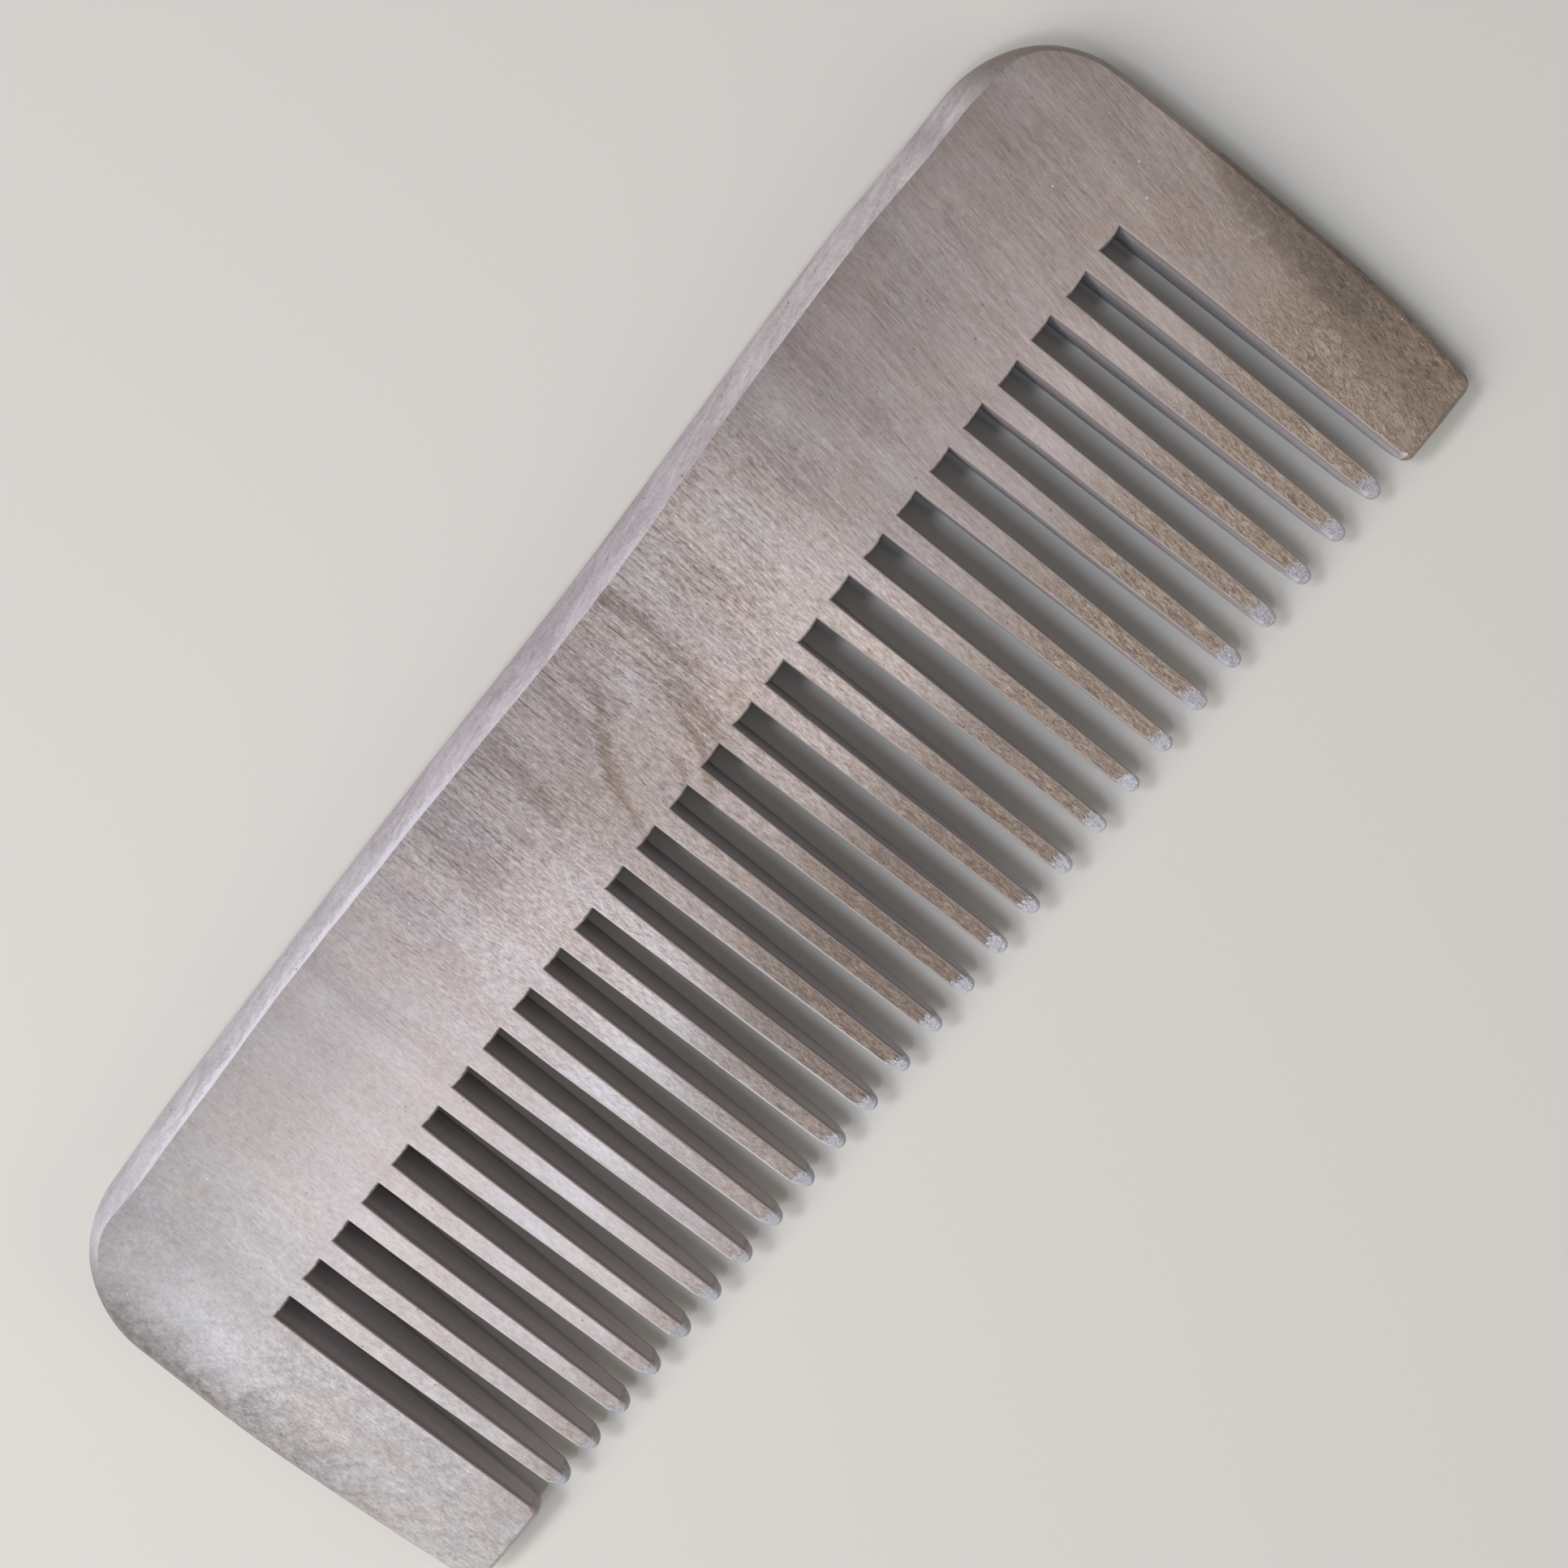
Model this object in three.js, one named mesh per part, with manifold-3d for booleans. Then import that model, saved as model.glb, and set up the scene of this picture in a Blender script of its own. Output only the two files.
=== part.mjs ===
// A wide tooth comb, sawn from one plank of hardwood and lying flat on its face.
// Millimetres, +Z up. X runs along the comb, Y runs across it from the tooth tips (-Y)
// to the spine (+Y), and Z is the thickness. The origin is under the middle of the comb.
//
// The comb is a single piece of wood with no fasteners. Its solids are the features that a
// comb maker names: the back, the two broad guard teeth at the ends, and the 26 teeth.
// They meet face to face along the root line of the teeth.

import * as THREE from 'three';
import { mergeVertices } from 'three/addons/utils/BufferGeometryUtils.js';
import Module from 'manifold-3d';

const wasm = await Module();
wasm.setup();

// The plank
const LENGTH = 180;
const WIDTH = 63.2;
const THICKNESS = 7.4;
const BACK_DEPTH = 23.9;

// The comb's outline, seen from above
const LEFT_CORNER = 15;
const RIGHT_CORNER = 12;
const END_TAPER = 2.4;
const LEFT_TAPER_FROM = 0;
const RIGHT_TAPER_FROM = -16;
const TIP_CORNER = 2;
const GUARD_CHAMFER = 0.8;
const EDGE_ROUND = 1.2;

// The comb's cross-section
const SPINE_ROUND = 3.3;
const SPINE_CREASE = 0.35;
const TAPER_START = 7;
const TIP_THICKNESS = 3.6;
const TIP_ROUND = 1.3;

// The teeth
const TEETH = 26;
const PITCH = 5.72;
const SLOT = 3.2;
const TOOTH_TIP = 1.9;
const LEFT_GUARD = 15.2;

// Edges shorter than this are dropped from the finished solids
const SLIVER = 0.01;

// Places that follow from those sizes
const X_END = LENGTH / 2;
const Y_SPINE = WIDTH / 2;
const Y_TIP = -WIDTH / 2;
const Y_ROOT = Y_SPINE - BACK_DEPTH;
const TOOTH_ROOT = PITCH - SLOT;
const X_FIRST_SLOT = -X_END + LEFT_GUARD;
const X_LAST_SLOT = X_FIRST_SLOT + TEETH * PITCH + SLOT;

const WOOD = { color: 0x9d8a7c, roughness: 0.55, metalness: 0 };

// A closed geometry as a solid that can be cut
function solid(geometry) {
  geometry.deleteAttribute('normal');
  geometry.deleteAttribute('uv');
  const merged = mergeVertices(geometry, 1e-5);
  return new wasm.Manifold(new wasm.Mesh({
    numProp: 3,
    vertProperties: new Float32Array(merged.attributes.position.array),
    triVerts: new Uint32Array(merged.index.array),
  }));
}

// A flat shape in X and Y, pulled up to the plank's thickness
function plate(shape) {
  return solid(new THREE.ExtrudeGeometry(shape, {
    depth: THICKNESS,
    bevelEnabled: false,
    curveSegments: 12,
  }));
}

// The outer outline: straight spine, two round corners, ends that draw in towards the tips
function outlineShape() {
  const shape = new THREE.Shape();
  const xTip = X_END - END_TAPER;
  shape.moveTo(-xTip + TIP_CORNER, Y_TIP);
  shape.lineTo(xTip - TIP_CORNER, Y_TIP);
  shape.quadraticCurveTo(xTip, Y_TIP, xTip, Y_TIP + TIP_CORNER);
  shape.quadraticCurveTo(X_END, RIGHT_TAPER_FROM, X_END, Y_ROOT);
  shape.lineTo(X_END, Y_SPINE - RIGHT_CORNER);
  shape.absarc(X_END - RIGHT_CORNER, Y_SPINE - RIGHT_CORNER, RIGHT_CORNER, 0, Math.PI / 2);
  shape.lineTo(-X_END + LEFT_CORNER, Y_SPINE);
  shape.absarc(-X_END + LEFT_CORNER, Y_SPINE - LEFT_CORNER, LEFT_CORNER, Math.PI / 2, Math.PI);
  shape.lineTo(-X_END, Y_ROOT);
  shape.quadraticCurveTo(-X_END, LEFT_TAPER_FROM, -xTip, Y_TIP + TIP_CORNER);
  shape.quadraticCurveTo(-xTip, Y_TIP, -xTip + TIP_CORNER, Y_TIP);
  return shape;
}

// The outline as a plank with its edge softened all round
function softPlank() {
  return solid(new THREE.ExtrudeGeometry(outlineShape(), {
    depth: THICKNESS - 2 * EDGE_ROUND,
    bevelEnabled: true,
    bevelThickness: EDGE_ROUND,
    bevelSize: EDGE_ROUND,
    bevelOffset: -EDGE_ROUND,
    bevelSegments: 4,
    curveSegments: 12,
  }).translate(0, 0, EDGE_ROUND));
}

// The cross-section in Y and Z: a rounded spine, two flat faces, teeth that thin to the tips
function sectionShape() {
  const middle = THICKNESS / 2;
  const tip = TIP_THICKNESS / 2;
  const shape = new THREE.Shape();
  shape.moveTo(Y_SPINE - SPINE_ROUND, 0);
  shape.bezierCurveTo(
    Y_SPINE - SPINE_ROUND / 2, SPINE_CREASE,
    Y_SPINE, middle / 2,
    Y_SPINE, middle,
  );
  shape.bezierCurveTo(
    Y_SPINE, middle * 1.5,
    Y_SPINE - SPINE_ROUND / 2, THICKNESS - SPINE_CREASE,
    Y_SPINE - SPINE_ROUND, THICKNESS,
  );
  shape.lineTo(Y_ROOT - TAPER_START, THICKNESS);
  shape.lineTo(Y_TIP + TIP_ROUND, middle + tip);
  shape.bezierCurveTo(
    Y_TIP + TIP_ROUND / 3, middle + tip,
    Y_TIP, middle + tip / 2,
    Y_TIP, middle,
  );
  shape.bezierCurveTo(
    Y_TIP, middle - tip / 2,
    Y_TIP + TIP_ROUND / 3, middle - tip,
    Y_TIP + TIP_ROUND, middle - tip,
  );
  shape.lineTo(Y_ROOT - TAPER_START, 0);
  shape.closePath();
  return shape;
}

// The section runs along X: its first axis becomes Y and its second becomes Z
function sectionBar() {
  const turn = new THREE.Matrix4().makeBasis(
    new THREE.Vector3(0, 1, 0),
    new THREE.Vector3(0, 0, 1),
    new THREE.Vector3(1, 0, 0),
  );
  return solid(new THREE.ExtrudeGeometry(sectionShape(), {
    depth: LENGTH + 2,
    bevelEnabled: false,
    curveSegments: 8,
  }).applyMatrix4(turn).translate(-X_END - 1, 0, 0));
}

// Everything from the root line up to the spine
function backShape() {
  const shape = new THREE.Shape();
  shape.moveTo(-X_END, Y_ROOT);
  shape.lineTo(X_END, Y_ROOT);
  shape.lineTo(X_END, Y_SPINE);
  shape.lineTo(-X_END, Y_SPINE);
  shape.closePath();
  return shape;
}

// One tooth between two slots: it narrows to a round tip
function toothShape(x) {
  const tip = TOOTH_TIP / 2;
  const shape = new THREE.Shape();
  shape.moveTo(x - TOOTH_ROOT / 2, Y_ROOT);
  shape.lineTo(x - tip, Y_TIP + tip);
  shape.absarc(x, Y_TIP + tip, tip, Math.PI, 2 * Math.PI);
  shape.lineTo(x + TOOTH_ROOT / 2, Y_ROOT);
  shape.closePath();
  return shape;
}

// A broad guard tooth, from the wall of its slot out to the end of the comb
function guardShape(xSlot, side) {
  const shape = new THREE.Shape();
  shape.moveTo(xSlot, Y_ROOT);
  shape.lineTo(side * X_END, Y_ROOT);
  shape.lineTo(side * X_END, Y_TIP);
  shape.lineTo(xSlot + side * GUARD_CHAMFER, Y_TIP);
  shape.lineTo(xSlot, Y_TIP + GUARD_CHAMFER);
  shape.closePath();
  return shape;
}

// A finished solid as a named mesh with its own wood material
function woodMesh(name, body) {
  const data = body.getMesh();
  const geometry = new THREE.BufferGeometry();
  geometry.setAttribute('position', new THREE.BufferAttribute(data.vertProperties, 3));
  geometry.setIndex(new THREE.BufferAttribute(data.triVerts, 1));
  const faceted = geometry.toNonIndexed();
  faceted.computeVertexNormals();
  const mesh = new THREE.Mesh(faceted, new THREE.MeshStandardMaterial(WOOD));
  mesh.name = name;
  return mesh;
}

const comb = new THREE.Group();
comb.name = 'wide_tooth_comb';

const blank = softPlank().intersect(sectionBar());

// Cuts one feature out of the blank, and drops the slivers that two soft edges leave
function addFeature(name, shape) {
  comb.add(woodMesh(name, blank.intersect(plate(shape)).simplify(SLIVER)));
}

addFeature('comb_back', backShape());
addFeature('left_guard_tooth', guardShape(X_FIRST_SLOT, -1));
addFeature('right_guard_tooth', guardShape(X_LAST_SLOT, 1));

for (let number = 1; number <= TEETH; number += 1) {
  const x = X_FIRST_SLOT + SLOT / 2 + (number - 0.5) * PITCH;
  addFeature(`tooth_${String(number).padStart(2, '0')}`, toothShape(x));
}

export default comb;
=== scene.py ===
import math

import bpy
import numpy as np
from mathutils import Matrix, Vector, geometry, noise


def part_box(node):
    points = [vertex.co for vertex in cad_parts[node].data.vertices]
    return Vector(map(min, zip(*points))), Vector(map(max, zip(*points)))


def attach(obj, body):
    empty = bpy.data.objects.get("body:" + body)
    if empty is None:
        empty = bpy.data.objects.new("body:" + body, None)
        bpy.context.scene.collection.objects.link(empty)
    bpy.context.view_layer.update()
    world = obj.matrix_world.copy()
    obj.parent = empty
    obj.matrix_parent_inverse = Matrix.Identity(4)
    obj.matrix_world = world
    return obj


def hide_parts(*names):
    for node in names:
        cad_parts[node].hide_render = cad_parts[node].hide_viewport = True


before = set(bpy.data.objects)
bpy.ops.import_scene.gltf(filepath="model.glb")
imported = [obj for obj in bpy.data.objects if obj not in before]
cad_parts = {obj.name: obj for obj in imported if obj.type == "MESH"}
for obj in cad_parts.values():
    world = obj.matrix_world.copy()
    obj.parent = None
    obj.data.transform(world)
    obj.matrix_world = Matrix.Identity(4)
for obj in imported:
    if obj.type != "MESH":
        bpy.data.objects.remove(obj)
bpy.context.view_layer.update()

# A wide tooth comb: one piece of hardwood, sawn, sanded by hand and lying flat on its face.
# X runs along the comb, Y across it from the tooth tips to the spine, Z is the thickness.
# The shape is worked out in millimetres and goes into Blender in metres.

MM = 0.001

# ------------------------ sizes from the frame


def box_mm(node):
    """A CAD node's lowest and highest corners in millimetres."""
    low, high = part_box(node)
    return Vector(low) / MM, Vector(high) / MM


BACK_LOW, BACK_HIGH = box_mm("comb_back")
LEFT_GUARD = box_mm("left_guard_tooth")
RIGHT_GUARD = box_mm("right_guard_tooth")
TOOTH_NODES = sorted(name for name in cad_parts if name.startswith("tooth_"))
TEETH = [box_mm(name) for name in TOOTH_NODES]

# Sanding took a little off both ends of the plank
LEFT_SANDED = 0.5
RIGHT_SANDED = 0.3
X_LEFT = BACK_LOW.x + LEFT_SANDED
X_RIGHT = BACK_HIGH.x - RIGHT_SANDED
Y_SPINE, Y_ROOT = BACK_HIGH.y, BACK_LOW.y
Y_TIP = TEETH[0][0].y
HALF = (BACK_HIGH.z - BACK_LOW.z) / 2
MIDDLE = (BACK_HIGH.z + BACK_LOW.z) / 2

FIRST_CENTRE = (TEETH[0][0].x + TEETH[0][1].x) / 2
PITCH = TEETH[1][0].x - TEETH[0][0].x

# ------------------------ sizes of the hand work

LEFT_CORNER = 14.4
RIGHT_CORNER = 13.2

# The kinds of edge round each corner: from and to which angle, and how many points
RIGHT_BEND = [("right_end", 0, 60, 16), ("spine", 60, 90, 8)]
LEFT_BEND = [("spine", 90, 105, 5), ("left_corner", 105, 150, 14), ("left_end", 150, 180, 9)]

# Each end draws in towards the tips: how far, from which height, and how suddenly
LEFT_TAPER = (2.2, 5.5, 1.8)
RIGHT_TAPER = (2.1, 0.0, 3.1)

# The teeth: rounded tips that differ a little, and roots that are fuller to the left
TIP_WIDTH = 1.95
TIP_WIDTH_VARIES = 0.08
TIP_STRAYS = 0.12
FULLER = 0.2
FULLEST_X = -45.0
FULLER_UP_TO_X = 20.0
GUARD_TIP_CORNER = 1.6
GUARD_SLOT_CORNER = 0.75
LEFT_GUARD_SHORT = 0.5

# The saw went a little deeper at one end than at the other, and never twice alike
ROOT_DRIFT = 0.9
ROOT_UNEVEN = 0.2
ROOT_BOW = 0.11
ROOT_TILT = 0.2
ROOT_RAGGED = 0.09
WALL_WANDER = 0.05
WALL_NICKS = 0.12
NICK_RARITY = 0.35

# The spine is sanded hollow in the middle and lower at its two corners
SPINE_HOLLOW = 0.6
HOLLOW_X = 13.0
HOLLOW_REACH = 24.0
LEFT_DROP = 0.3
LEFT_DROP_REACH = 12.0
RIGHT_DROP = 0.75
RIGHT_DROP_REACH = 34.0

# The spine's facet swells to the left of the hollow
FACET_SWELL = 0.65
SWELL_X = 8.0
SWELL_FROM_Y = 24.0
SWELL_FULL_Y = 30.0
FACET_WAVE = 0.08
FACET_RIPPLE = 0.02

# The faces stay flat to the knee, then thin towards the tips
KNEE = Y_ROOT - 7.0
KNEE_SOFTNESS = 2.5
TIP_HALF = 1.85
TAPER = (HALF - TIP_HALF) / (KNEE - Y_TIP)
FACE_WAVE = 0.03
THINNEST = 0.35

# The guard teeth roll off towards their outer edges, and the back's corners a little
ROLL_REACH = 8.0
ROLL_DEPTH = 0.7
ROLL_TOP = Y_ROOT - 2.0
ROLL_LENGTH = 24.0
ROLL_POWER = 1.5
CORNER_ROLL_REACH = 5.0
CORNER_ROLL_DEPTH = 0.25

# The slanted flat that sanding left on the end of each tooth, longer to the right
TIP_FLAT_REACH = 2.3
TIP_FLAT_DROP = 1.30
SHORTEST_FLAT = 0.76
FLAT_GROWTH = 0.022
FLAT_VARIES = 0.3
FLAT_LEAN = -0.42
FLAT_LEAN_VARIES = 0.8
TIP_ZONE = 6.0

# Each kind of edge: how far its rounding reaches over the face, how far down the side,
# and the angle in degrees at which it leaves the face, so 0 is a seamless roll
EDGES = {
    "slot": (0.20, 0.26, 8),
    "tip": (0.55, 1.50, 0),
    "guard_tip": (0.55, 1.30, 12),
    "left_end": (2.90, 3.55, 6),
    "left_corner": (2.00, 3.20, 26),
    "right_end": (1.05, 2.60, 22),
    "spine": (3.10, 3.40, 36),
}
OUTER_KINDS = ("left_end", "left_corner", "right_end", "spine")
DEEPEST_ROUNDING = 0.94
SHARPEST_CORNER = 0.6

# How far along the outline one kind of edge runs into the next
BLEND = 0.8
OUTER_BLEND = 6.0

# Which finish each kind of edge has, where it isn't the face's own
EDGE_FINISH = {"slot": "wall", "spine": "spine", "left_corner": "spine"}

# How finely the mesh is cut
OUTLINE_STEP = 1.0
WALL_STEP = 0.9
GUARD_END_STEP = 0.8
ROOT_STEPS = 10
TIP_STEPS = 14
GUARD_CORNER_STEPS = 6
ROUNDING_STEPS = 8
WALL_RINGS = 2
CREASE_GAP = 0.32
SHARP_ANGLE = 22

# A narrow flat border inside each edge keeps the faces flat right up to it
BORDER = 0.12


def wander(x, y, seed):
    """Smooth noise from -1 to 1, the same on each run."""
    return noise.noise(Vector((x, y, seed * 7.31)))


def smooth(value, start, end):
    """0 at start, 1 at end, and smooth between."""
    t = min(max((value - start) / (end - start), 0.0), 1.0)
    return t * t * (3 - 2 * t)


# ------------------------ outline


def line(start, end, step):
    """Evenly spaced points from start up to, but not including, end."""
    start, end = Vector(start), Vector(end)
    count = max(2, round((end - start).length / step))
    return [tuple(start.lerp(end, i / count)) for i in range(count)]


def arc(centre, radius, start, end, count):
    """Points of an arc, in degrees, up to but not including its end."""
    turns = [math.radians(start + (end - start) * i / count) for i in range(count)]
    x, y = centre
    return [(x + radius * math.cos(t), y + radius * math.sin(t)) for t in turns]


def saw_wall(start, end, seed):
    """A sawn slot wall: nearly straight, with a slow wander and a few small nicks."""
    points = []
    into_wood = 1 if end[1] < start[1] else -1
    for x, y in line(start, end, WALL_STEP):
        slow = WALL_WANDER * wander(y * 0.09, seed * 1.3, 2)
        nick = WALL_NICKS * max(0.0, wander(y * 0.9, seed * 2.1, 3) - NICK_RARITY)
        points.append((x + slow + into_wood * nick, y))
    return points


def root_height(x, seed):
    """Where the saw stopped in one slot."""
    along = (x - X_LEFT) / (X_RIGHT - X_LEFT)
    return Y_ROOT - ROOT_DRIFT * (1 - along) + ROOT_UNEVEN * wander(seed * 3.7, 0.5, 11)


def slot_root(x_from, x_to, seed):
    """The torn end of a slot, which bows a little into the slot."""
    points = []
    for i in range(ROOT_STEPS):
        t = i / ROOT_STEPS
        x = x_from + (x_to - x_from) * t
        bow = ROOT_BOW * (1 - (2 * t - 1) ** 2) * (1 + 0.6 * wander(seed, 4.2, 5))
        tilt = ROOT_TILT * (t - 0.5) * wander(seed * 1.9, 1.1, 6)
        ragged = ROOT_RAGGED * wander(x * 2.3, seed, 8)
        points.append((x, root_height(x, seed) - bow + tilt + ragged))
    return points


def end_x(side, y):
    """Where the left (-1) or right (1) end of the comb lies at a height y."""
    amount, start, power = RIGHT_TAPER if side > 0 else LEFT_TAPER
    fall = (max(0.0, start - y) / (start - Y_TIP)) ** power
    return (X_RIGHT if side > 0 else X_LEFT) - side * amount * fall


def spine_y(x):
    """The line of the spine at a place along the comb."""
    corner = X_LEFT + LEFT_CORNER
    hollow = SPINE_HOLLOW * math.exp(-((x - HOLLOW_X) / HOLLOW_REACH) ** 2)
    left = LEFT_DROP * (1 - smooth(x, corner, corner + LEFT_DROP_REACH))
    right = RIGHT_DROP * smooth(x, X_RIGHT - RIGHT_DROP_REACH, X_RIGHT - RIGHT_CORNER)
    return Y_SPINE - hollow - left - right


def tooth(number, low, high):
    """One tooth: its two sides at the root, and its tip from left to right."""
    radius = TIP_WIDTH / 2 * (1 + TIP_WIDTH_VARIES * wander(number * 1.9, 8.1, 22))
    x = (low.x + high.x) / 2 + TIP_STRAYS * wander(number * 2.7, 3.3, 21)
    y = Y_TIP + radius + TIP_STRAYS * (1 + wander(number * 3.1, 5.7, 23))
    tip = arc((x, y), radius, 180, 360, TIP_STEPS)
    left = low.x - FULLER * (1 - smooth(low.x, FULLEST_X, FULLER_UP_TO_X))
    return {"left": left, "right": high.x, "tip": tip, "kind": "tip"}


def guard(side):
    """One broad guard tooth, with a cut end between two rounded corners."""
    low, high = LEFT_GUARD if side < 0 else RIGHT_GUARD
    slot = high.x if side < 0 else low.x
    left, right = sorted((slot, end_x(side, Y_TIP + GUARD_TIP_CORNER)))
    first, last = GUARD_TIP_CORNER, GUARD_SLOT_CORNER
    if side > 0:
        first, last = last, first
    end = Y_TIP + (LEFT_GUARD_SHORT if side < 0 else 0)
    tip = arc((left + first, end + first), first, 180, 270, GUARD_CORNER_STEPS)
    tip += line((left + first, end), (right - last, end), GUARD_END_STEP)
    tip += arc((right - last, end + last), last, 270, 360, GUARD_CORNER_STEPS)
    return {"left": left, "right": right, "tip": tip, "kind": "guard_tip"}


def teeth_rim():
    """The outline from the left guard's tip, in and out of every slot, to the right guard's."""
    fingers = [guard(-1), *(tooth(i, *box) for i, box in enumerate(TEETH, 1)), guard(1)]
    rim = [(x, y, "guard_tip") for x, y in fingers[0]["tip"]]
    for number in range(1, len(fingers)):
        before, after = fingers[number - 1], fingers[number]
        root = slot_root(before["right"], after["left"], number)
        corner = (after["left"], root_height(after["left"], number))
        up = saw_wall(before["tip"][-1], root[0], number)[1:]
        down = saw_wall(corner, after["tip"][0], -number)
        rim += [(x, y, "slot") for x, y in up + root + down]
        rim += [(x, y, after["kind"]) for x, y in after["tip"]]
    return rim


def bend(centre, radius, parts):
    """A round corner of the outline, in parts of different kinds."""
    rim = []
    for kind, start, end, count in parts:
        rim += [(x, y, kind) for x, y in arc(centre, radius, start, end, count)]
    return rim


def back_rim():
    """The outline up the right end, along the spine and down the left end."""
    start = Y_TIP + GUARD_TIP_CORNER
    right, left = X_RIGHT - RIGHT_CORNER, X_LEFT + LEFT_CORNER
    right_top, left_top = spine_y(right) - RIGHT_CORNER, spine_y(left) - LEFT_CORNER

    rise = line((0, start), (0, right_top), OUTLINE_STEP)
    rim = [(end_x(1, y), y, "right_end") for _, y in rise]
    rim += bend((right, right_top), RIGHT_CORNER, RIGHT_BEND)
    rim += [(x, spine_y(x), "spine") for x, _ in line((right, 0), (left, 0), OUTLINE_STEP)]
    rim += bend((left, left_top), LEFT_CORNER, LEFT_BEND)
    fall = line((0, left_top), (0, start + LEFT_GUARD_SHORT), OUTLINE_STEP)
    return rim + [(end_x(-1, y), y, "left_end") for _, y in fall]


def inward(points):
    """At each point of the outline, the direction into the wood, longer at a sharp corner."""
    ahead = np.roll(points, -1, axis=0) - points
    ahead /= np.linalg.norm(ahead, axis=1, keepdims=True)
    behind = np.roll(ahead, 1, axis=0)
    left = np.stack([-ahead[:, 1], ahead[:, 0]], axis=1)
    left_behind = np.stack([-behind[:, 1], behind[:, 0]], axis=1)
    both = left + left_behind
    both /= np.linalg.norm(both, axis=1, keepdims=True)
    corner = np.clip((both * left).sum(axis=1, keepdims=True), SHARPEST_CORNER, 1)
    return both / corner


def facet_width(x, y):
    """How much wider than usual the rounding is at a point of the outer edge: factor, swell."""
    on_spine = smooth(y, SWELL_FROM_Y, SWELL_FULL_Y)
    swell = math.exp(-((x - SWELL_X) / HOLLOW_REACH) ** 2) * on_spine
    wave = FACET_WAVE * wander(x * 0.045, y * 0.05, 31)
    ripple = FACET_RIPPLE * wander(x * 0.3, y * 0.3, 32)
    return 1 + wave + ripple, FACET_SWELL * swell


def edge_values(points, kinds):
    """The rounding at each point of the outline, blended along it where the kind changes."""
    values = np.array([EDGES[kind] for kind in kinds])
    step = np.linalg.norm(np.roll(points, -1, axis=0) - points, axis=1)
    outer = np.array([kind in OUTER_KINDS for kind in kinds])
    near = np.where(outer, OUTER_BLEND, BLEND)
    along = np.concatenate([[0], np.cumsum(step)])
    total, place = along[-1], along[:-1]
    blended = np.empty_like(values)
    for i in range(len(kinds)):
        apart = np.abs(place - place[i])
        apart = np.minimum(apart, total - apart)
        weight = np.clip(1 - apart / near[i], 0, 1) * step
        blended[i] = (values * weight[:, None]).sum(axis=0) / weight.sum()
    for i in np.flatnonzero(outer):
        factor, swell = facet_width(*points[i])
        blended[i, 0] = blended[i, 0] * factor + swell
    return blended


# ------------------------ thickness


def end_roll(x, y):
    """How far the outer part of a guard tooth or corner has been sanded down."""
    gap = min(x - end_x(-1, y), end_x(1, y) - x)
    low = smooth(ROLL_TOP - y, 0, ROLL_LENGTH)
    lower = ROLL_DEPTH * low * (1 - smooth(gap, 0, ROLL_REACH)) ** ROLL_POWER
    near = 1 - smooth(gap, 0, CORNER_ROLL_REACH)
    return lower + CORNER_ROLL_DEPTH * near * smooth(y, Y_ROOT, Y_SPINE)


def past_flat(x, y, face):
    """How far a point lies past the start of its tooth's sanded flat, towards the tip."""
    number = round((x - FIRST_CENTRE) / PITCH)
    varies = FLAT_VARIES * wander(number * 1.7, face, 41)
    length = SHORTEST_FLAT + FLAT_GROWTH * number + varies
    lean = FLAT_LEAN_VARIES * wander(number * 2.9, face, 42) + FLAT_LEAN
    centre = FIRST_CENTRE + number * PITCH
    return Y_TIP + TIP_FLAT_REACH * length + lean * (x - centre) - y


def on_teeth(x, y):
    """Whether a point is near the ends of the inner teeth."""
    return TEETH[0][0].x - 1 < x < TEETH[-1][1].x + 1 and y < Y_TIP + TIP_ZONE


def half_thickness(x, y, face):
    """From the middle of the plank to its upper (1) or lower (-1) face."""
    past = KNEE - y
    past = (past + math.sqrt(past * past + KNEE_SOFTNESS ** 2)) / 2
    half = HALF - TAPER * past
    half -= end_roll(x, y)
    half -= FACE_WAVE * (1 + wander(x * 0.06, y * 0.06, 51 + face))
    if on_teeth(x, y):
        half -= max(0.0, past_flat(x, y, face)) * TIP_FLAT_DROP / TIP_FLAT_REACH
    return max(half, THINNEST)


# ------------------------ mesh


def grid(x_from, x_to, x_step, y_from, y_to, y_step):
    """Points spread evenly over a rectangle."""
    across = np.arange(x_from, x_to, x_step)
    return [(x, y) for y in np.arange(y_from, y_to, y_step) for x in across]


def inner_points():
    """Points inside the faces: dense on the teeth and at their tips, wider on the back."""
    points = grid(X_LEFT + 2, X_RIGHT - 1.5, 1.43, Y_ROOT + 0.8, Y_SPINE - 3.8, 1.5)
    for low, high in (LEFT_GUARD, RIGHT_GUARD):
        points += grid(low.x + 1.2, high.x - 0.6, 1.4, Y_TIP + 1.4, Y_ROOT, 1.5)
    tip_rows = np.arange(Y_TIP + 0.9, Y_TIP + 5, 0.3)
    shaft_rows = np.arange(Y_TIP + 5.6, Y_ROOT, 1.0)
    for low, high in TEETH:
        centre = (low.x + high.x) / 2
        for y in (*tip_rows, *shaft_rows):
            aside = 0.55 * (0.5 + 0.5 * smooth(y, Y_TIP, Y_TIP + 4))
            points += [(centre + aside * side, y) for side in (-1, 0, 1)]
    return np.array(points)


def inside(points, rim):
    """Which points lie inside the closed rim, by crossing count."""
    rim = np.array(rim)
    x, y = points[:, 0], points[:, 1]
    within = np.zeros(len(points), dtype=bool)
    for (x0, y0), (x1, y1) in zip(rim, np.roll(rim, -1, axis=0)):
        if y0 == y1:
            continue
        crosses = ((y0 > y) != (y1 > y)) & (x < (x1 - x0) * (y - y0) / (y1 - y0) + x0)
        within ^= crosses
    return within


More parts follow.
